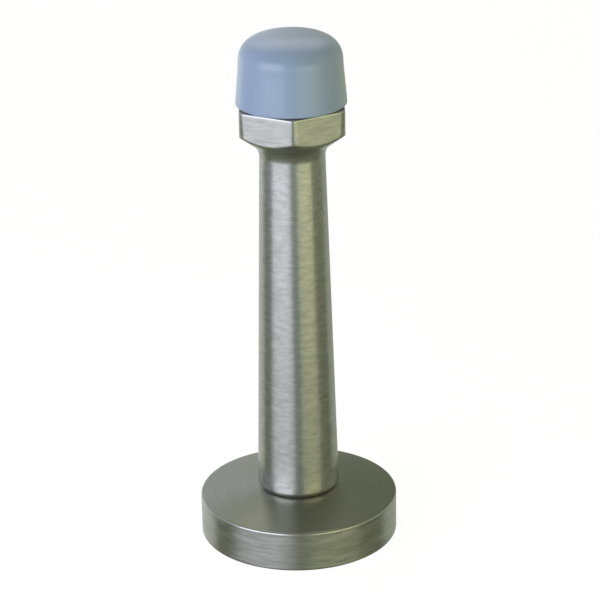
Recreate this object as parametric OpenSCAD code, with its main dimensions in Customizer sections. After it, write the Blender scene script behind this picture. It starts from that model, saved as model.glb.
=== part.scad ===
// Base-mounted door stop: a hexagon-headed post on a round flange, with a screwed rubber bumper.
// Everything stands on z = 0, the mounting surface, and is centred on the Z axis.

/* [Overall] */
// Height from the mounting surface to the tip of the bumper
overall_h = 95.25; // [94:0.25:97]

/* [Base flange] */
// Diameter of the flange
base_d = 36.3; // [36:0.1:38]
// Height of the rim where the cone of the top would start
rim_h = 7.55; // [7.2:0.05:7.8]
// Height of the flange at the foot of the post
flange_h = 9.05; // [8.8:0.05:9.6]
// Radius that rounds the top edge of the rim
rim_edge_r = 0.45; // [0.3:0.05:1]
// Bevel on the bottom edge of the rim
rim_foot_bevel = 0.4; // [0.2:0.1:0.8]
// Thickness of the wall round the hollow underside
rim_wall = 2.4; // [1.8:0.1:2.5]
// Height of the ceiling of the hollow underside
ceiling_z = 5.6; // [5.5:0.1:5.8]

/* [Post] */
// Diameter of the post at its foot
post_foot_d = 15.05; // [14.6:0.05:15.4]
// Diameter of the post where it begins to flare into the hexagon
post_neck_d = 11.7; // [11.4:0.05:12]
// Radius of the flare
neck_r = 3; // [2.8:0.1:3.2]
// Bevel round the edge of the foot
post_foot_bevel = 0.8; // [0.3:0.1:1.2]

/* [Hexagon] */
// Width of the hexagon across its flats
hex_af = 18.45; // [18:0.05:19]
// Diameter that the corners are turned down to
hex_corner_d = 20.85; // [20.6:0.05:20.9]
// Height of the lowest point of each flat
hex_low_z = 77; // [76.7:0.1:77.4]
// Angle of the hexagon's turned underside from level
hex_under_angle = 37; // [30:1:45]
// Height of the top face of the hexagon
hex_top_z = 82.5; // [82:0.1:83]
// Bevel on the corners of the top face
hex_top_bevel = 0.25; // [0.1:0.05:0.4]

/* [Bumper] */
// Diameter of the bumper at its bottom edge
bumper_foot_d = 19.66; // [19.4:0.02:19.9]
// Diameter of the bumper where its crown begins
bumper_shoulder_d = 18.4; // [18:0.1:18.8]
// Height where the crown begins
bumper_shoulder_z = 89.7; // [89:0.1:90.5]
// Squareness of the crown: 2 is round and higher is squarer
crown_power = 2.78; // [2.2:0.02:3.4]
// Radius of the bottom edge
bumper_edge_r = 0.4; // [0.2:0.1:0.6]
// Thickness of the washer under the bumper
bumper_washer_h = 0.3; // [0.2:0.05:0.4]
// Diameter of the steel backing disc in the rubber
backing_d = 16.8; // [16:0.2:17.2]
// Thickness of the backing disc
backing_h = 1.2; // [1:0.1:1.5]

/* [Threads] */
// Diameter of the mounting stud
stud_d = 8; // [7.8:0.1:8]
// Height of the tip of the mounting stud
stud_tip_z = 10; // [9.5:0.1:10]
// Depth of the tapped hole in the bottom of the post
post_bore_depth = 12; // [11:0.5:14]
// Diameter of the threaded spigot that holds the flange to the post
spigot_d = 12; // [11.6:0.1:12]
// Height of the bottom end of the spigot
spigot_z = 3.6; // [3.5:0.1:3.7]
// Diameter of the bumper's stud
bumper_stud_d = 6; // [5.8:0.1:6]
// Height of the lower tip of the bumper's stud
bumper_stud_tip_z = 76; // [75.5:0.1:77]
// Depth of the tapped hole in the top of the post
top_bore_depth = 10; // [9:0.5:10.5]
// Radial play of a thread in its hole
thread_play = 0.05; // [0.03:0.01:0.08]
// Radial play of a plain hole round a thread
hole_play = 0.08; // [0.06:0.01:0.1]

/* [Mounting plate] */
// Diameter of the plate
plate_d = 30.6; // [30:0.1:30.8]
// Thickness of the plate
plate_h = 2.5; // [2.4:0.1:2.6]
// Diameter of the circle of screw holes
screw_circle_d = 21; // [20.8:0.1:21.2]
// Number of screw holes
screw_count = 3; // [3:1:4]
// Diameter of each screw hole
screw_hole_d = 4.5; // [4:0.1:4.5]
// Diameter of each countersink at the plate's face
countersink_d = 8; // [7.6:0.1:8]
// Diameter of the flush head of the mounting stud
stud_head_d = 11; // [10.5:0.5:11]
// Thickness of the flush head
stud_head_h = 1; // [0.8:0.1:1.2]

/* [Nut and washers] */
// Width of the flange nut across its flats
nut_af = 16; // [15.5:0.1:16.5]
// Outer diameter of the lock washer
lock_washer_d = 12.6; // [12:0.1:12.8]
// Width of the slit in the lock washer
lock_washer_slit = 0.8; // [0.6:0.1:1.2]
// Outer diameter of the washer under the bumper
bumper_washer_d = 16.4; // [16:0.1:17]
// Width of the bumper bolt's head across its flats
bolt_head_af = 10; // [9:0.5:10]
// Height of the bumper bolt's head
bolt_head_h = 4; // [3:0.5:4]

/* [Hidden] */
$fn = 96;
slack = 1;                                   // how far cutting shapes run past a face
base_r = base_d / 2;
hollow_r = base_r - rim_wall;
post_foot_r = post_foot_d / 2;
post_neck_r = post_neck_d / 2;
cone_slope = atan((flange_h - rim_h) / (base_r - post_foot_r));
spigot_r = spigot_d / 2;
stud_r = stud_d / 2;
bumper_stud_r = bumper_stud_d / 2;
flare_x = post_neck_r + neck_r;              // centre of the flare's arc from the axis
under_x = flare_x - neck_r * sin(hex_under_angle);
under_z = hex_low_z - (hex_af / 2 - under_x) * tan(hex_under_angle);
neck_z = under_z - neck_r * cos(hex_under_angle);
bumper_z = hex_top_z + bumper_washer_h;
backing_top_z = bumper_z + backing_h;
tip_bevel = 0.6;                             // bevel on the tip of each thread
mouth_bevel = 0.5;                           // bevel at the mouth of each tapped hole
drill_point = 59;                            // half angle of a drilled hole's bottom
mould_gap = 0.02;                            // gap left round the bolt head in the rubber

// Points on an arc of radius r about [x, y], from angle a0 to a1
function arc(x, y, r, a0, a1, steps = 10) =
    [for (i = [0:steps]) let (a = a0 + (a1 - a0) * i / steps) [x + r * cos(a), y + r * sin(a)]];

// Corner radius of a hexagon of this width across its flats
function corner_r(af) = af / 2 / cos(30);

// Height of the cone of the flange's top at radius r
function cone_z(r) = rim_h + (base_r - r) * tan(cone_slope);

// A blind hole of radius r, from its mouth at z, going up by depth
module blind_hole(r, z, depth) {
    translate([0, 0, z - slack]) cylinder(r = r, h = depth + slack);
    translate([0, 0, z + depth]) cylinder(r1 = r, r2 = 0, h = r / tan(drill_point));
    translate([0, 0, z - slack])
        cylinder(r1 = r + mouth_bevel + slack, r2 = r, h = mouth_bevel + slack);
}

// A threaded shank of radius r standing from z0 to a bevelled tip at z1
module shank(r, z0, z1) {
    translate([0, 0, z0]) cylinder(r = r, h = z1 - z0 - tip_bevel);
    translate([0, 0, z1 - tip_bevel]) cylinder(r1 = r, r2 = r - tip_bevel, h = tip_bevel);
}

// A flat ring
module ring(r_out, r_in, z, h) {
    translate([0, 0, z]) difference() {
        cylinder(r = r_out, h = h);
        translate([0, 0, -slack]) cylinder(r = r_in, h = h + 2 * slack);
    }
}

module mounting_plate() {
    sink_h = (countersink_d - screw_hole_d) / 2;
    color("lightsteelblue") difference() {
        cylinder(d = plate_d, h = plate_h);
        translate([0, 0, -slack]) cylinder(r = stud_r + hole_play, h = plate_h + 2 * slack);
        translate([0, 0, -slack]) cylinder(d = stud_head_d + 2 * hole_play, h = stud_head_h + slack);
        for (i = [0:screw_count - 1]) rotate([0, 0, 360 * i / screw_count + 90])
            translate([screw_circle_d / 2, 0, 0]) {
                translate([0, 0, -slack]) cylinder(d = screw_hole_d, h = plate_h + 2 * slack);
                translate([0, 0, plate_h - sink_h])
                    cylinder(d1 = screw_hole_d, d2 = countersink_d + 2 * slack, h = sink_h + slack);
            }
    }
}

module mounting_stud() {
    color("silver") {
        cylinder(d = stud_head_d, h = stud_head_h);
        shank(stud_r, stud_head_h, stud_tip_z);
    }
}

module lock_washer() {
    color("dimgray") difference() {
        ring(lock_washer_d / 2, stud_r + hole_play, plate_h, spigot_z - plate_h);
        translate([0, -lock_washer_slit / 2, plate_h - slack])
            cube([lock_washer_d, lock_washer_slit, spigot_z - plate_h + 2 * slack]);
    }
}

module base_flange() {
    // The rounded rim edge meets the upright wall at 0 degrees and the cone at 90 - cone_slope
    edge_x = base_r - rim_edge_r;
    edge_y = cone_z(edge_x) - rim_edge_r / cos(cone_slope);
    color("darkkhaki") rotate_extrude() polygon(concat(
        [[spigot_r + hole_play, ceiling_z], [hollow_r, ceiling_z], [hollow_r, 0]],
        [[base_r - rim_foot_bevel, 0], [base_r, rim_foot_bevel]],
        arc(edge_x, edge_y, rim_edge_r, 0, 90 - cone_slope),
        [[post_foot_r, flange_h], [spigot_r + hole_play, flange_h]]
    ));
}

module flange_nut() {
    nut_h = ceiling_z - spigot_z;
    nut_corner_r = corner_r(nut_af);
    nut_face_r = nut_af / 2 - tip_bevel / 2;
    color("silver") difference() {
        translate([0, 0, spigot_z]) intersection() {
            cylinder(r = nut_corner_r, h = nut_h, $fn = 6);
            cylinder(r1 = nut_face_r, r2 = nut_face_r + 2 * nut_h, h = nut_h);
        }
        translate([0, 0, spigot_z - slack]) cylinder(r = spigot_r + thread_play, h = nut_h + 2 * slack);
    }
}

module post() {
    // The flare starts upright and runs smoothly into the hexagon's underside
    corner_out = hex_corner_d / 2;
    color("darkkhaki") difference() {
        union() {
            translate([0, 0, spigot_z]) cylinder(r1 = spigot_r - tip_bevel, r2 = spigot_r, h = tip_bevel);
            translate([0, 0, spigot_z + tip_bevel])
                cylinder(r = spigot_r, h = flange_h - spigot_z - tip_bevel);
            intersection() {
                rotate_extrude() polygon(concat(
                    [[0, flange_h], [post_foot_r - post_foot_bevel, flange_h]],
                    [[post_foot_r, flange_h + post_foot_bevel]],
                    arc(flare_x, neck_z, neck_r, 180, 90 + hex_under_angle),
                    [[corner_out, hex_low_z + (corner_out - hex_af / 2) * tan(hex_under_angle)]],
                    [[corner_out, hex_top_z - hex_top_bevel], [corner_out - hex_top_bevel, hex_top_z]],
                    [[0, hex_top_z]]
                ));
                rotate([0, 0, 30]) cylinder(r = corner_r(hex_af), h = overall_h, $fn = 6);
            }
        }
        blind_hole(stud_r + thread_play, spigot_z, post_bore_depth);
        translate([0, 0, hex_top_z]) mirror([0, 0, 1])
            blind_hole(bumper_stud_r + thread_play, 0, top_bore_depth);
    }
}

module bumper_washer() {
    color("dimgray") ring(bumper_washer_d / 2, bumper_stud_r + hole_play, hex_top_z, bumper_washer_h);
}

module bumper_backing() {
    color("silver") ring(backing_d / 2, bumper_stud_r + hole_play, bumper_z, backing_h);
}

module bumper_bolt() {
    color("lightsteelblue") {
        translate([0, 0, backing_top_z])
            cylinder(r = corner_r(bolt_head_af), h = bolt_head_h, $fn = 6);
        mirror([0, 0, 1]) shank(bumper_stud_r, -backing_top_z, -bumper_stud_tip_z);
    }
}

module rubber_bumper() {
    foot_r = bumper_foot_d / 2;
    shoulder_r = bumper_shoulder_d / 2;
    crown_h = overall_h - bumper_shoulder_z;
    crown_steps = 24;
    color("lightslategray") difference() {
        rotate_extrude() polygon(concat(
            [[0, bumper_z]],
            arc(foot_r - bumper_edge_r, bumper_z + bumper_edge_r, bumper_edge_r, 270, 360),
            [for (i = [0:crown_steps - 1]) let (a = 90 * i / crown_steps)
                [shoulder_r * pow(cos(a), 2 / crown_power),
                 bumper_shoulder_z + crown_h * pow(sin(a), 2 / crown_power)]],
            [[0, overall_h]]
        ));
        translate([0, 0, bumper_z - slack]) cylinder(d = backing_d + 2 * mould_gap, h = backing_h + slack);
        translate([0, 0, backing_top_z - slack])
            cylinder(r = corner_r(bolt_head_af) + mould_gap, h = bolt_head_h + mould_gap + slack, $fn = 6);
    }
}

mounting_plate();
mounting_stud();
lock_washer();
base_flange();
flange_nut();
post();
bumper_washer();
bumper_backing();
bumper_bolt();
rubber_bumper();
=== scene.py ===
"""A base-mounted door stop in satin nickel with a blue-grey rubber bumper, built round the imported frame.

Shapes are worked out in millimetres from the frame's own boxes and scaled to metres in skin().
"""

import math

import bmesh
import bpy
from mathutils import Matrix, Vector


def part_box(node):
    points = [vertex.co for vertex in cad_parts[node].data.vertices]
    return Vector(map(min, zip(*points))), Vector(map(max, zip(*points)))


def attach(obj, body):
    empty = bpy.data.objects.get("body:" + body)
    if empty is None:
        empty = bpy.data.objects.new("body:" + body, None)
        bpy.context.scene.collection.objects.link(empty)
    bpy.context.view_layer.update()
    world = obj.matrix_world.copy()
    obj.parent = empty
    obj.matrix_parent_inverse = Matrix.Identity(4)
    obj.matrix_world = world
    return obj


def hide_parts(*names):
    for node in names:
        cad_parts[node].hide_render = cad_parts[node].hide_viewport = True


MM = 0.001
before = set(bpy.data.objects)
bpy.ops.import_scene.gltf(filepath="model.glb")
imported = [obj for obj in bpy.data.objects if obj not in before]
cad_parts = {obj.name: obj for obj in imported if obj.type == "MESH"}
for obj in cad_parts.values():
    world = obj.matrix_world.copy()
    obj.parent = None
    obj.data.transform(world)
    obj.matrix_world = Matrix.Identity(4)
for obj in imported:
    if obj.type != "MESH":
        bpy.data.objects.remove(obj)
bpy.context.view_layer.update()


# ---------------------------------------------------------------- sizes (mm)

def box(node):
    """The lowest and highest corner of a CAD node in millimetres."""
    low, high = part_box(node)
    return low / MM, high / MM


base_high = box("base_flange")[1]
post_low, post_high = box("post")
bumper_low, bumper_high = box("rubber_bumper")
plate_high = box("mounting_plate")[1]
stud_high = box("mounting_stud")[1]
lock_low, lock_high = box("lock_washer")
nut_low, nut_high = box("flange_nut")
seat_high = box("bumper_washer")[1]
backing_high = box("bumper_backing")[1]
bolt_low, bolt_high = box("bumper_bolt")

BASE_R = base_high.x
FLANGE_TOP = base_high.z
RIM_H = 7.55                # height of the flange's upright rim
RIM_EDGE = 0.45             # rounding of the rim's upper edge
RIM_WALL = 2.4
CEILING = nut_high.z        # the flange's hollow ends here
POST_FOOT_R = 7.525
FOOT_EDGE = 1.1             # rounding of the post's foot
NECK_R = 5.85               # the post's radius where its flare starts
FLARE_R = 3.0               # radius of the flare's own curve
UNDER_ANGLE = 37            # the hexagon's turned underside, from level
FLAT = post_high.x          # distance of each hexagon flat from the axis
CORNER_TOP_R = 10.44        # the corners are turned down, a little deeper at the bottom
CORNER_LOW_R = 10.32
HEX_LOW = 77.0              # the lowest point of each flat
HEX_TOP = post_high.z
BUMPER_FOOT_R = 9.83
SHOULDER_R = 9.2            # the bumper's radius and height where its crown starts
SHOULDER_Z = 89.7
CROWN_POWER = 2.78          # 2 is an ellipse; more is squarer
LIP = 0.22                  # how far the bumper's edge hangs past the washer under it
SPIGOT_R = 6.0              # threads: outer radius, pitch and the radius of a tapped hole's crests
SPIGOT_PITCH = 1.0
NUT_BORE_R = SPIGOT_R - 0.47
STUD_R = 4.0
STUD_PITCH = 1.25
STUD_BORE_R = STUD_R - 0.6
STUD_HEAD_H = 1.0
BOLT_R = 3.0
BOLT_PITCH = 1.0
BOLT_BORE_R = BOLT_R - 0.5
SPIGOT_LOW = post_low.z
STUD_BORE_TOP = SPIGOT_LOW + 12
BOLT_BORE_LOW = HEX_TOP - 10
PLAY = 0.05                 # radial play of a thread in its hole
HOLE_PLAY = 0.08            # radial play of a plain hole round a thread
SCREW_CIRCLE_R = 10.5       # where the plate's three screw holes are
SCREW_HOLE_R = 2.25
SINK = 2.75                 # how far the cone that cuts a countersink widens, at 45 degrees


# ---------------------------------------------------------------- mesh helpers

def arc(x, y, radius, start, end, steps):
    """Points on an arc about (x, y), with its angles in degrees."""
    turns = [math.radians(start + (end - start) * i / steps) for i in range(steps + 1)]
    return [(x + radius * math.cos(t), y + radius * math.sin(t)) for t in turns]


def rounded(corners, steps, closed=True):
    """An outline from corners (r, z, fillet radius), each rounded with a true arc."""
    points = []
    for i, (r, z, fillet) in enumerate(corners):
        if fillet <= 0 or (not closed and i in (0, len(corners) - 1)):
            points.append((r, z))
            continue
        here = Vector((r, z))
        before = (Vector(corners[i - 1][:2]) - here).normalized()
        after = (Vector(corners[(i + 1) % len(corners)][:2]) - here).normalized()
        half = before.angle(after) / 2
        reach = fillet / math.tan(half)
        centre = here + (before + after).normalized() * (fillet / math.sin(half))
        first, last = here + before * reach - centre, here + after * reach - centre
        sweep = first.angle_signed(last)
        for k in range(steps + 1):
            turn = -sweep * k / steps
            c, s = math.cos(turn), math.sin(turn)
            points.append((centre.x + c * first.x - s * first.y, centre.y + s * first.x + c * first.y))
    return points


def add_object(name, data):
    """A new object in the scene, made from its data."""
    made = bpy.data.objects.new(name, data)
    bpy.context.scene.collection.objects.link(made)
    return made


def finish_mesh(mesh, name, sharp):
    """An object from a bmesh, smooth except at edges that turn by more than sharp degrees."""
    data = bpy.data.meshes.new(name)
    mesh.to_mesh(data)
    mesh.free()
    data.shade_smooth()
    data.set_sharp_from_angle(angle=math.radians(sharp))
    piece = add_object(name, data)
    weighted = piece.modifiers.new("Weighted", "WEIGHTED_NORMAL")
    weighted.keep_sharp = True
    return piece


def skin(name, columns, closed, sharp, wrap=True):
    """A solid from columns of points (mm), side by side round the axis.

    A closed column is a loop; an open one starts and ends on the axis, where the columns meet.
    """
    mesh = bmesh.new()
    grid = [[mesh.verts.new(Vector(p) * MM) for p in column] for column in columns]
    pairs = list(zip(grid, grid[1:] + grid[:1])) if wrap else list(zip(grid, grid[1:]))
    tall = len(grid[0])
    for left, right in pairs:
        for k in range(tall if closed else tall - 1):
            up = (k + 1) % tall
            mesh.faces.new((left[k], right[k], right[up], left[up]))
    if not wrap:
        mesh.faces.new(grid[0])
        mesh.faces.new(grid[-1][::-1])
    bmesh.ops.remove_doubles(mesh, verts=mesh.verts, dist=1e-8)
    bmesh.ops.recalc_face_normals(mesh, faces=mesh.faces)
    return finish_mesh(mesh, name, sharp)


def polar(r, z, angle):
    """The point at this distance from the axis, height and angle."""
    return (r * math.cos(angle), r * math.sin(angle), z)


def even_angles(count):
    """Angles for this many columns, evenly round the axis."""
    return [2 * math.pi * i / count for i in range(count)]


def lathe(name, outline, closed, count, sharp=32):
    """A turned solid from an outline of (r, z) points."""
    columns = [[polar(r, z, a) for r, z in outline] for a in even_angles(count)]
    return skin(name, columns, closed, sharp)


def thread_depth(angle, z, pitch):
    """How far into a right-handed thread's groove a point is: 0 on the crest and 1 at the root."""
    crest = 0.12                # the share of the pitch that is flat, on the crest and at the root
    phase = (z / pitch - angle / (2 * math.pi)) % 1.0
    wave = abs(phase - 0.5) * 2
    return min(1.0, max(0.0, (wave - crest) / (1 - 2 * crest)))


def heights(low, high, pitch, per_turn):
    """Evenly spaced heights that are close enough for a thread of this pitch."""
    steps = max(2, round((high - low) / pitch * per_turn))
    return [low + (high - low) * i / steps for i in range(steps + 1)]


def threaded_wall(angle, levels, crest, root, pitch, limit):
    """The points of one column of a thread, whose crests are cut back at its end to the radius limit(z)."""
    cut = min if root < crest else max
    return [(cut(crest + (root - crest) * thread_depth(angle, z, pitch), limit(z)), z) for z in levels]


def hexagon_r(angle, flat, turn):
    """Distance to the side of a hexagon in this direction, with its flats this far from the axis."""
    part = (angle - turn + math.pi / 6) % (math.pi / 3) - math.pi / 6
    return flat / math.cos(part)


def hexagon_of(high):
    """The flats' distance from the axis and the turn of a hexagon whose box ends at this corner."""
    return min(high.x, high.y), math.pi / 6 if high.x > high.y else 0


# ---------------------------------------------------------------- pieces

def make_flange():
    """The round flange: a hollow underside, an upright rim and a shallow cone on top."""
    hollow = BASE_R - RIM_WALL
    hole = SPIGOT_R + HOLE_PLAY
    corners = [(hole, CEILING, 0.15), (hollow, CEILING, 0.6), (hollow, 0.0, 0.12), (BASE_R, 0.0, 0.4),
               (BASE_R, RIM_H, RIM_EDGE), (POST_FOOT_R, FLANGE_TOP, 0.0), (hole, FLANGE_TOP, 0.0)]
    return lathe("Flange", rounded(corners, steps=9), True, 256)


def post_columns():
    """The post's columns: each one's middle direction, its place across, and whether it is on a corner."""
    columns = []
    for facet in range(6):
        middle = math.radians(60 * facet)
        for i in range(-12, 13):
            columns.append((middle, i / 12, False))
        for i in (-1, 0, 1):
            columns.append((middle + math.pi / 6, i / 2, True))
    return columns


def head_point(column, z, inset=0.0):
    """The radius and angle of the head's outside in this column at this height, or inset inwards from it."""
    middle, across, on_corner = column
    share = min(1, max(0, (z - HEX_LOW) / (HEX_TOP - HEX_LOW)))
    corner = CORNER_LOW_R + (CORNER_TOP_R - CORNER_LOW_R) * share - inset
    flat = FLAT - inset
    start = math.acos(min(1.0, flat / corner))
    if on_corner:
        return corner, middle + (math.pi / 6 - start) * 2 * across
    angle = middle + start * across
    return flat / math.cos(angle - middle), angle


def post_outline():
    """The turned outside of the post, as (r, z): its rounded foot, its taper and its flare."""
    lean = math.radians(UNDER_ANGLE)
    flare_x = NECK_R + FLARE_R
    under_r = flare_x - FLARE_R * math.sin(lean)
    neck_z = HEX_LOW - (FLAT - under_r) * math.tan(lean) - FLARE_R * math.cos(lean)
    foot = rounded([(SPIGOT_R, FLANGE_TOP, 0), (POST_FOOT_R, FLANGE_TOP, FOOT_EDGE),
                    (POST_FOOT_R - 0.06, FLANGE_TOP + 3, 0)], closed=False, steps=10)
    taper, rise = NECK_R - POST_FOOT_R, neck_z - FLANGE_TOP
    side = [(POST_FOOT_R + taper * k / 24, FLANGE_TOP + rise * k / 24) for k in range(1, 24)]
    return foot[1:-1] + side + arc(flare_x, neck_z, FLARE_R, 180, 90 + UNDER_ANGLE, 14)


def make_post():
    """The tapered round post with its hexagon head, threaded spigot and two tapped holes."""
    slope = math.tan(math.radians(UNDER_ANGLE))
    outside = post_outline()
    flare_r, flare_z = outside[-1]
    spigot_levels = heights(SPIGOT_LOW, FLANGE_TOP - 0.4, SPIGOT_PITCH, 8)
    stud_levels = heights(SPIGOT_LOW + 0.3, SPIGOT_LOW + 9, STUD_PITCH, 8)
    bolt_levels = heights(BOLT_BORE_LOW + 1, HEX_TOP - 0.3, BOLT_PITCH, 8)

    columns = []
    for column in post_columns():
        # the column's angle is the one where it meets the head's turned underside: two steps find it
        under_z = HEX_LOW + 1
        for _ in range(2):
            low_r, angle = head_point(column, under_z)
            under_z = HEX_LOW + (low_r - FLAT) * slope

        stud_bore = threaded_wall(angle, stud_levels, STUD_BORE_R, STUD_R + PLAY, STUD_PITCH,
                                  lambda z: STUD_R - 0.1 - (z - SPIGOT_LOW))
        spigot = threaded_wall(angle, spigot_levels, SPIGOT_R, SPIGOT_R - 0.55, SPIGOT_PITCH,
                               lambda z: SPIGOT_R - 0.6 + (z - SPIGOT_LOW))
        bolt_bore = threaded_wall(angle, bolt_levels, BOLT_BORE_R, BOLT_R + PLAY, BOLT_PITCH,
                                  lambda z: BOLT_R - 0.1 - (HEX_TOP - z))
        reach = low_r - 0.08 - flare_r
        under = [(flare_r + reach * k / 4, flare_z + reach * k / 4 * slope) for k in range(1, 5)]
        below = [(0, STUD_BORE_TOP + 2.4), (STUD_BORE_R, STUD_BORE_TOP)] + stud_bore[::-1]
        below += [(STUD_R + 0.45, SPIGOT_LOW)] + spigot + [(SPIGOT_R - 0.1, FLANGE_TOP)] + outside + under
        above = [(7.4, HEX_TOP), (BOLT_R + 0.45, HEX_TOP)] + bolt_bore[::-1]
        above += [(BOLT_BORE_R, BOLT_BORE_LOW), (0, BOLT_BORE_LOW - 1.6)]

        # up the flats, with a fine bevel below and a rounded one at the top
        head = []
        for z, inset in ((under_z + 0.06, 0.02), (under_z + 0.12, 0), (under_z + 0.4, 0),
                         ((under_z + HEX_TOP) / 2, 0), (HEX_TOP - 0.45, 0), (HEX_TOP - 0.2, 0),
                         (HEX_TOP - 0.10, 0.03), (HEX_TOP - 0.03, 0.09), (HEX_TOP, 0.2), (HEX_TOP, 0.5)):
            r, turn = head_point(column, z, inset)
            head.append(polar(r, z, turn))
        columns.append([polar(r, z, angle) for r, z in below] + head + [polar(r, z, angle) for r, z in above])
    return skin("Post", columns, False, 34)


def make_bumper():
    """The rubber cap: slightly flared sides, a squarish crown and a pocket for its steel disc."""
    crown_h = bumper_high.z - SHOULDER_Z
    low = bumper_low.z
    pocket_r, pocket_z = backing_high.x + 0.02, backing_high.z + 0.01
    lip = seat_high.x + 0.1
    outline = [(0, pocket_z), (pocket_r, pocket_z), (pocket_r, low)]
    outline += rounded([(lip, low, 0), (lip + 0.15, low - LIP, 0.05), (BUMPER_FOOT_R, low - LIP, 0.3),
                        (SHOULDER_R, SHOULDER_Z, 0)], closed=False, steps=6)[:-1]
    r, z = outline[-1]
    outline += [(r + (SHOULDER_R - r) * k / 10, z + (SHOULDER_Z - z) * k / 10) for k in range(1, 10)]
    for k in range(41):
        t = math.radians(90 * k / 40)
        outline.append((SHOULDER_R * max(0.0, math.cos(t)) ** (2 / CROWN_POWER) if k < 40 else 0.0,
                        SHOULDER_Z + crown_h * math.sin(t) ** (2 / CROWN_POWER)))
    return lathe("Bumper", outline, False, 192, 50)


def make_stud():
    """The plate's threaded stud with its flush head."""
    head_r, tip = stud_high.x, stud_high.z
    levels = heights(STUD_HEAD_H + 0.2, tip, STUD_PITCH, 12)
    head = [(0, 0), (head_r - 0.15, 0), (head_r, 0.15), (head_r, STUD_HEAD_H - 0.1),
            (head_r - 0.1, STUD_HEAD_H), (STUD_R + 0.05, STUD_HEAD_H)]
    columns = []
    for angle in even_angles(96):
        wall = threaded_wall(angle, levels, STUD_R - 0.03, STUD_R - 0.72, STUD_PITCH,
                             lambda z: STUD_R - 0.7 + (tip - z))
        columns.append([polar(r, z, angle) for r, z in head + wall + [(0, tip)]])
    return skin("Plate_stud", columns, False, 40)


def make_bolt():
    """The bolt whose head is moulded into the bumper."""
    flat, turn = hexagon_of(bolt_high)
    top, under, tip = bolt_high.z, backing_high.z, bolt_low.z
    levels = heights(tip, under - 0.2, BOLT_PITCH, 12)
    columns = []
    for angle in even_angles(96):
        side = hexagon_r(angle, flat, turn)
        head = [(BOLT_R, under), (side, under), (side, top), (0, top)]
        wall = threaded_wall(angle, levels, BOLT_R - 0.03, BOLT_R - 0.58, BOLT_PITCH,
                             lambda z: BOLT_R - 0.6 + (z - tip))
        columns.append([polar(r, z, angle) for r, z in [(0, tip)] + wall + head])
    return skin("Bumper_bolt", columns, False, 40)


def make_nut():
    """The thin nut that holds the flange to the spigot, with its corners chamfered underneath."""
    low, high = nut_low.z, nut_high.z
    flat, turn = hexagon_of(nut_high)
    levels = heights(low + 0.3, high - 0.05, SPIGOT_PITCH, 10)
    columns = []
    for angle in even_angles(144):
        out = hexagon_r(angle, flat, turn)
        chamfer = [(min(out, flat - 0.3 + rise * 1.8), low + rise) for rise in (0, 0.2, 0.4, 0.6, 0.8, 1.0)]
        above = [(out, high - 0.12), (out - 0.12, high), (SPIGOT_R + 0.1, high)]
        bore = threaded_wall(angle, levels, NUT_BORE_R, SPIGOT_R + PLAY, SPIGOT_PITCH,
                             lambda z: SPIGOT_R + 0.3 - (z - low))
        outline = [(SPIGOT_R + 0.4, low)] + chamfer + above + bore[::-1]
        columns.append([polar(r, z, angle) for r, z in outline])
    return skin("Flange_nut", columns, True, 34)


def make_lock_washer():
    """The split lock washer, with slanted faces at its slit."""
    inner, outer = STUD_R + HOLE_PLAY, lock_high.x
    half_slit, slant = 0.4, 0.35        # slant: how far the slit's faces lean for each mm of height
    section = rounded([(inner, lock_low.z, 0.12), (outer, lock_low.z, 0.18),
                       (outer, lock_high.z, 0.18), (inner, lock_high.z, 0.12)], steps=3)
    count = 120
    columns = []
    for i in range(count + 1):
        column = []
        for r, z in section:
            lean = (z - (lock_low.z + lock_high.z) / 2) * slant / r
            start, end = half_slit / r + lean, 2 * math.pi - half_slit / r + lean
            column.append(polar(r, z, start + (end - start) * (i / count)))
        columns.append(column)
    return skin("Lock_washer", columns, True, 34, wrap=False)


def make_ring(name, node, edge):
    """A flat washer round the bumper's bolt, with rounded edges."""
    low, high = box(node)
    inner, outer = BOLT_R + HOLE_PLAY, high.x
    corners = [(inner, low.z, edge), (outer, low.z, edge), (outer, high.z, edge), (inner, high.z, edge)]
    return lathe(name, rounded(corners, steps=3), True, 160)


def make_plate():
    """The screw plate: a turned disc with a recess for the stud's head and countersunk holes."""
    outer, top = plate_high.x, plate_high.z
    centre_r = STUD_R + HOLE_PLAY
    recess_r = stud_high.x + HOLE_PLAY
    corners = [(centre_r, STUD_HEAD_H, 0.0), (recess_r, STUD_HEAD_H, 0.1), (recess_r, 0.0, 0.15),
               (outer, 0.0, 0.25), (outer, top, 0.35), (centre_r, top, 0.2)]
    plate = lathe("Screw_plate", rounded(corners, steps=4), True, 160)
    for i in range(3):
        hole = lathe("cutter", [(0, -1), (SCREW_HOLE_R, -1), (SCREW_HOLE_R, top + 1 - SINK),
                                (SCREW_HOLE_R + SINK, top + 1), (0, top + 1)], False, 64)
        turn = math.radians(90 + 120 * i)
        hole.location = Vector(polar(SCREW_CIRCLE_R, 0, turn)) * MM
        hole.rotation_euler.z = 0.03      # keeps its points off the plate's own edges
        cut = plate.modifiers.new("hole", "BOOLEAN")
        cut.operation, cut.solver, cut.object = "DIFFERENCE", "EXACT", hole
        plate.modifiers.move(len(plate.modifiers) - 1, 0)
        bpy.context.view_layer.update()
        made = bpy.data.meshes.new_from_object(plate.evaluated_get(bpy.context.evaluated_depsgraph_get()))
        plate.modifiers.remove(cut)
        old, plate.data = plate.data, made
        bpy.data.meshes.remove(old)
        bpy.data.objects.remove(hole)
    plate.data.shade_smooth()
    plate.data.set_sharp_from_angle(angle=math.radians(32))
    return plate


# ---------------------------------------------------------------- materials

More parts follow.
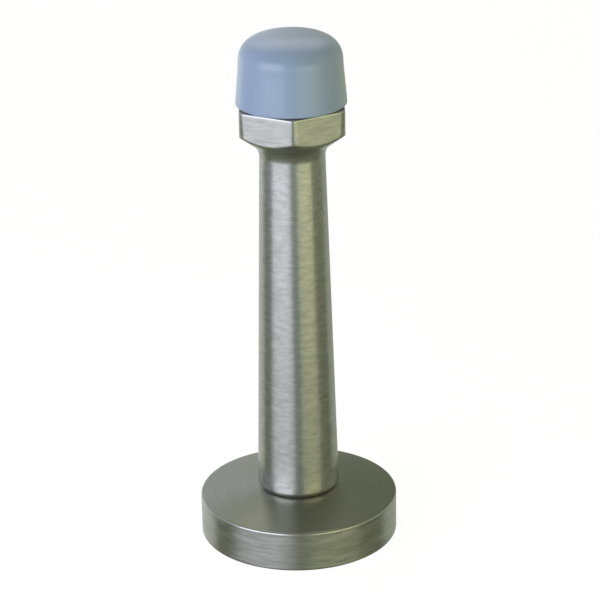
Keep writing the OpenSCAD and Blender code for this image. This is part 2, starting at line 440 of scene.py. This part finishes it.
class Shader:
    """A material's nodes, added one call at a time."""

    def __init__(self, name):
        self.material = bpy.data.materials.new(name)
        self.material.use_nodes = True
        self.tree = self.material.node_tree
        self.surface = self.tree.nodes["Principled BSDF"]

    def add(self, kind, settings=None, **inputs):
        node = self.tree.nodes.new("ShaderNode" + kind)
        for key, value in (settings or {}).items():
            setattr(node, key, value)
        for key, value in inputs.items():
            self.set(node, key.replace("_", " "), value)
        return node

    def set(self, node, key, value):
        socket = node.inputs[int(key) if key.isdigit() else key]
        if isinstance(value, bpy.types.NodeSocket):
            self.tree.links.new(value, socket)
        else:
            socket.default_value = value

    def math(self, operation, a, b=None):
        node = self.add("Math", {"operation": operation})
        self.set(node, "0", a)
        if b is not None:
            self.set(node, "1", b)
        return node.outputs[0]

    def ramp(self, value, *stops):
        """A colour ramp from (place, colour) stops."""
        node = self.add("ValToRGB", Fac=value)
        elements = node.color_ramp.elements
        while len(elements) < len(stops):
            elements.new(0.5)
        for element, (place, colour) in zip(elements, stops):
            element.position = place
            element.color = (*colour, 1)
        return node.outputs[0]

    def spread(self, value, low, high):
        """A value from 0 to 1, mapped to low to high."""
        node = self.add("MapRange", Value=value)
        node.inputs["To Min"].default_value = low
        node.inputs["To Max"].default_value = high
        return node.outputs[0]

    def noise(self, vector, scale, detail, roughness=0.55):
        node = self.add("TexNoise", Vector=vector, Scale=scale, Detail=detail, Roughness=roughness)
        return node.outputs[0]

    def place(self):
        """The point on the piece, in metres."""
        return self.add("TexCoord").outputs["Object"]

    def round_axis(self, turns, lines, radial=1.0):
        """Coordinates that stretch a noise into lines round the Z axis.

        turns sets how short the lines are, and lines how many cross a millimetre. radial is how much
        they also follow the distance from the axis, as they must on a face that is turned flat.
        """
        split = self.add("SeparateXYZ", Vector=self.place())
        x, y, z = split.outputs
        r = self.math("SQRT", self.math("ADD", self.math("MULTIPLY", x, x), self.math("MULTIPLY", y, y)))
        safe = self.math("MAXIMUM", r, 1e-5)
        across = self.math("MULTIPLY", self.math("ADD", z, self.math("MULTIPLY", r, radial)), lines / MM)
        return self.add("CombineXYZ",
                        X=self.math("MULTIPLY", self.math("DIVIDE", x, safe), turns),
                        Y=self.math("MULTIPLY", self.math("DIVIDE", y, safe), turns),
                        Z=across).outputs[0]

    def bump(self, height, distance):
        return self.add("Bump", Height=height, Distance=distance, Strength=1.0).outputs[0]


def brushed(name, colour, lines=1.3, radial=1.0, upright=1.2, flat=0.7):
    """Metal that was brushed while it turned, so that every line runs round the axis.

    upright and flat are how strong the lines are on faces that stand up and that lie flat.
    """
    roughness, contrast, turns = 0.31, 0.14, 3.0
    shader = Shader(name)
    fine = shader.noise(shader.round_axis(turns * 2, lines * 3.2, radial), 1.0, 3.0, 0.6)
    coarse = shader.noise(shader.round_axis(turns, lines, radial), 1.0, 2.0, 0.5)
    cloud = shader.noise(shader.place(), 90, 2.0)
    both = shader.math("ADD", shader.math("MULTIPLY", fine, 0.5), shader.math("MULTIPLY", coarse, 0.5))
    facing = shader.add("SeparateXYZ", Vector=shader.add("TexCoord").outputs["Normal"]).outputs["Z"]
    gain = shader.spread(shader.math("ABSOLUTE", facing), upright, flat)
    mixed = shader.math("ADD", shader.math("MULTIPLY", shader.math("SUBTRACT", both, 0.5), gain), 0.5)
    darker = [c * (1 - contrast) for c in colour]
    lighter = [min(1.0, c * (1 + contrast)) for c in colour]
    tint = shader.ramp(mixed, (0.36, darker), (0.5, colour), (0.64, lighter))
    wash = shader.spread(cloud, 0.94, 1.06)
    tinted = shader.add("Mix", {"data_type": "RGBA", "blend_type": "MULTIPLY"})
    tinted.inputs[0].default_value = 1.0
    shader.set(tinted, "6", tint)
    shader.set(tinted, "7", wash)
    surface = shader.surface
    shader.set(surface, "Base Color", tinted.outputs[2])
    surface.inputs["Metallic"].default_value = 1.0
    shader.set(surface, "Roughness", shader.spread(mixed, roughness - 0.06, roughness + 0.06))
    surface.inputs["Anisotropic"].default_value = 0.45
    surface.inputs["Anisotropic Rotation"].default_value = 0.25
    tangent = shader.add("Tangent", {"direction_type": "RADIAL", "axis": "Z"})
    shader.set(surface, "Tangent", tangent.outputs[0])
    shader.set(surface, "Normal", shader.bump(mixed, 6e-6))
    return shader.material


def rubber():
    """Semi-gloss moulded rubber with a faint mottle and a fine moulded grain."""
    shader = Shader("rubber")
    mottle = shader.noise(shader.place(), 130, 3.0)
    grain = shader.noise(shader.place(), 2600, 2.0)
    colour = shader.ramp(mottle, (0.2, (0.324, 0.402, 0.562)), (0.8, (0.342, 0.42, 0.58)))
    surface = shader.surface
    shader.set(surface, "Base Color", colour)
    shader.set(surface, "Roughness", shader.spread(mottle, 0.25, 0.28))
    shader.set(surface, "Normal", shader.bump(grain, 2e-6))
    surface.inputs["Sheen Weight"].default_value = 0.5
    surface.inputs["Sheen Roughness"].default_value = 0.45
    surface.inputs["Subsurface Weight"].default_value = 0.15
    surface.inputs["Subsurface Radius"].default_value = (0.5, 0.6, 0.8)
    surface.inputs["Subsurface Scale"].default_value = 0.001
    return shader.material


def plated(name, light, dark, roughness, scale):
    """Plated or coated steel: a crystalline mottle and a fine grain."""
    shader = Shader(name)
    mottle = shader.noise(shader.place(), scale, 4.0, 0.6)
    grain = shader.noise(shader.place(), scale * 9, 2.0)
    shader.set(shader.surface, "Base Color", shader.ramp(mottle, (0.3, dark), (0.7, light)))
    shader.surface.inputs["Metallic"].default_value = 1.0
    shader.set(shader.surface, "Roughness", shader.spread(mottle, roughness + 0.08, roughness - 0.06))
    shader.set(shader.surface, "Normal", shader.bump(grain, 3e-6))
    return shader.material


def fibre():
    """Black vulcanised fibre with short matted strands."""
    shader = Shader("fibre")
    strands = shader.noise(shader.round_axis(14, 2.0), 1.0, 4.0, 0.7)
    colour = shader.ramp(strands, (0.3, (0.02, 0.02, 0.02)), (0.7, (0.06, 0.058, 0.055)))
    shader.set(shader.surface, "Base Color", colour)
    shader.set(shader.surface, "Roughness", shader.spread(strands, 0.7, 0.9))
    shader.set(shader.surface, "Normal", shader.bump(strands, 2e-5))
    return shader.material


# ---------------------------------------------------------------- assembly

NICKEL = (0.47, 0.465, 0.43)
nickel = brushed("satin_nickel", NICKEL, lines=1.5, upright=1.8, flat=0.4)
post_nickel = brushed("satin_nickel_post", NICKEL, radial=0.05)
rubber_look = rubber()
zinc = plated("zinc_plate", (0.66, 0.68, 0.70), (0.50, 0.52, 0.55), 0.30, 700)
spring = plated("spring_steel", (0.10, 0.10, 0.11), (0.04, 0.04, 0.045), 0.42, 900)
fibre_look = fibre()


def install(piece, body, material, node):
    """Give a piece its material and body, and hide the CAD node it stands for."""
    piece.data.materials.clear()
    piece.data.materials.append(material)
    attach(piece, body)
    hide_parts(node)


install(make_flange(), "stop", nickel, "base_flange")
install(make_post(), "stop", post_nickel, "post")
install(make_nut(), "stop", zinc, "flange_nut")
install(make_plate(), "mounting", zinc, "mounting_plate")
install(make_stud(), "mounting", zinc, "mounting_stud")
install(make_lock_washer(), "lock_ring", spring, "lock_washer")
install(make_ring("Bumper_seat_washer", "bumper_washer", 0.08), "bumper_seat", fibre_look,
        "bumper_washer")
install(make_ring("Backing_disc", "bumper_backing", 0.15), "bumper", zinc,
        "bumper_backing")
install(make_bolt(), "bumper", zinc, "bumper_bolt")
install(make_bumper(), "bumper", rubber_look, "rubber_bumper")


# ---------------------------------------------------------------- studio

def make_stage():
    """A plain pale floor with a round backdrop.

    They are hidden from reflections, so that the lights alone shape the metal.
    """
    shader = Shader("floor")
    shader.surface.inputs["Base Color"].default_value = (0.2, 0.2, 0.2, 1)
    shader.surface.inputs["Roughness"].default_value = 0.9
    shader.surface.inputs["Specular IOR Level"].default_value = 0.0
    shader.surface.inputs["Emission Color"].default_value = (1, 1, 1, 1)
    shader.surface.inputs["Emission Strength"].default_value = 0.93
    reach, wall_r, wall_h = 3.0, 2.9, 6.0
    floor, wall = bmesh.new(), bmesh.new()
    bmesh.ops.create_grid(floor, x_segments=1, y_segments=1, size=reach)
    bmesh.ops.create_cone(wall, segments=96, radius1=wall_r, radius2=wall_r, depth=wall_h)
    for name, mesh, height in (("Floor", floor, -0.0001), ("Backdrop", wall, wall_h / 2 - 0.1)):
        data = bpy.data.meshes.new(name)
        mesh.to_mesh(data)
        mesh.free()
        data.materials.append(shader.material)
        piece = add_object(name, data)
        piece.location.z = height
        piece.visible_glossy = False
        piece.visible_shadow = False
        piece.visible_diffuse = False


def direction(azimuth, elevation):
    """A unit vector from the object, with azimuth 0 towards the camera's side and positive to its right."""
    a, e = math.radians(azimuth), math.radians(elevation)
    return Vector((math.sin(a) * math.cos(e), -math.cos(a) * math.cos(e), math.sin(e)))


def panel(name, azimuths, elevations, glow, distance=0.9, height=0.0):
    """An area light placed, sized and turned by angles from the object, then raised by its own height.

    height raises it further. glow is the red, green and blue that a mirror would show of it.
    """
    azimuth, elevation = sum(azimuths) / 2, sum(elevations) / 2
    width = 2 * distance * math.tan(math.radians(azimuths[1] - azimuths[0]) / 2)
    tall = 2 * distance * math.tan(math.radians(elevations[1] - elevations[0]) / 2)
    data = bpy.data.lights.new(name, "AREA")
    data.shape = "RECTANGLE"
    data.size, data.size_y = width, tall
    data.energy = max(glow) * math.pi * width * tall
    data.color = [part / max(glow) for part in glow]
    lamp = add_object(name, data)
    towards = direction(azimuth, elevation)
    lamp.location = towards * distance + Vector((0, 0, tall + height))
    lamp.rotation_mode = "QUATERNION"
    lamp.rotation_quaternion = towards.to_track_quat("Z", "Y")
    lamp.visible_camera = False


def make_world(colour):
    world = bpy.data.worlds.new("Studio")
    world.use_nodes = True
    world.node_tree.nodes["Background"].inputs["Color"].default_value = (*colour, 1)
    bpy.context.scene.world = world


make_stage()
make_world((0.191, 0.210, 0.141))
# a cool key on the left and a warmer fill on the right, with dim light between, beside and behind them
panel("Key_low", (-71, -15), (-48, -26), (0.63, 0.67, 0.84))
panel("Key_skirt", (-71, -15), (-26, -14), (0.29, 0.20, 0.14))
panel("Key", (-71, -15), (-14, 0), (3.45, 3.66, 4.78))
panel("Key_high", (-71, -15), (0, 14), (2.98, 3.29, 3.79))
panel("Fill_low", (16, 62), (-48, -26), (0.16, 0.18, 0.14))
panel("Fill_skirt", (16, 62), (-26, -14), (0.73, 0.72, 0.51))
panel("Fill", (16, 62), (-14, 0), (2.41, 2.55, 1.39))
panel("Front_low", (-15, 16), (-48, -14), (0.19, 0.25, 0.29))
panel("Side_left", (-128, -76), (-50, -10), (0.38, 0.44, 0.64))
panel("Side_right", (66, 128), (-50, -10), (0.33, 0.35, 0.26))
panel("Back_left_low", (-180, -128), (-60, -30), (0.48, 0.50, 0.51))
panel("Back_left", (-180, -128), (-30, -10), (0.51, 0.57, 0.57))
panel("Back_left_high", (-180, -128), (-10, 15), (0.39, 0.41, 0.50))
panel("Back_left_top", (-180, -128), (15, 50), (0.43, 0.44, 0.38))
panel("Back_right_low", (128, 180), (-60, -30), (0.26, 0.28, 0.27))
# a small panel close above the bumper and behind it, which lights little but its crown
panel("Crown", (-36, 36), (94, 150), (1.15, 1.1, 1.2), distance=0.05, height=0.045)


# ---------------------------------------------------------------- camera (metres and degrees)

CAMERA_AZIMUTH = -1.0
CAMERA_ELEVATION = 21.804
CAMERA_DISTANCE = 0.42651
CAMERA_ROLL = 0.0184        # how far the top of the camera leans to its right, as a slope
AIM_HEIGHT = 0.04544
AIM_RIGHT = 0.000887
LENS = 141.86

camera_data = bpy.data.cameras.new("Camera")
camera_data.sensor_width = 36
camera_data.lens = LENS
camera_data.clip_start = 0.01
camera = add_object("Camera", camera_data)
bpy.context.scene.camera = camera
back = direction(CAMERA_AZIMUTH, CAMERA_ELEVATION)
right = Vector((0, 0, 1)).cross(back).normalized()
up = back.cross(right)
leaned_up = (up + right * CAMERA_ROLL).normalized()
leaned_right = leaned_up.cross(back)
aim = Vector((0, 0, AIM_HEIGHT)) + right * AIM_RIGHT
turned = Matrix((leaned_right, leaned_up, back)).transposed().to_4x4()
camera.matrix_world = Matrix.Translation(aim + back * CAMERA_DISTANCE) @ turned

bpy.context.scene.view_settings.view_transform = "Standard"
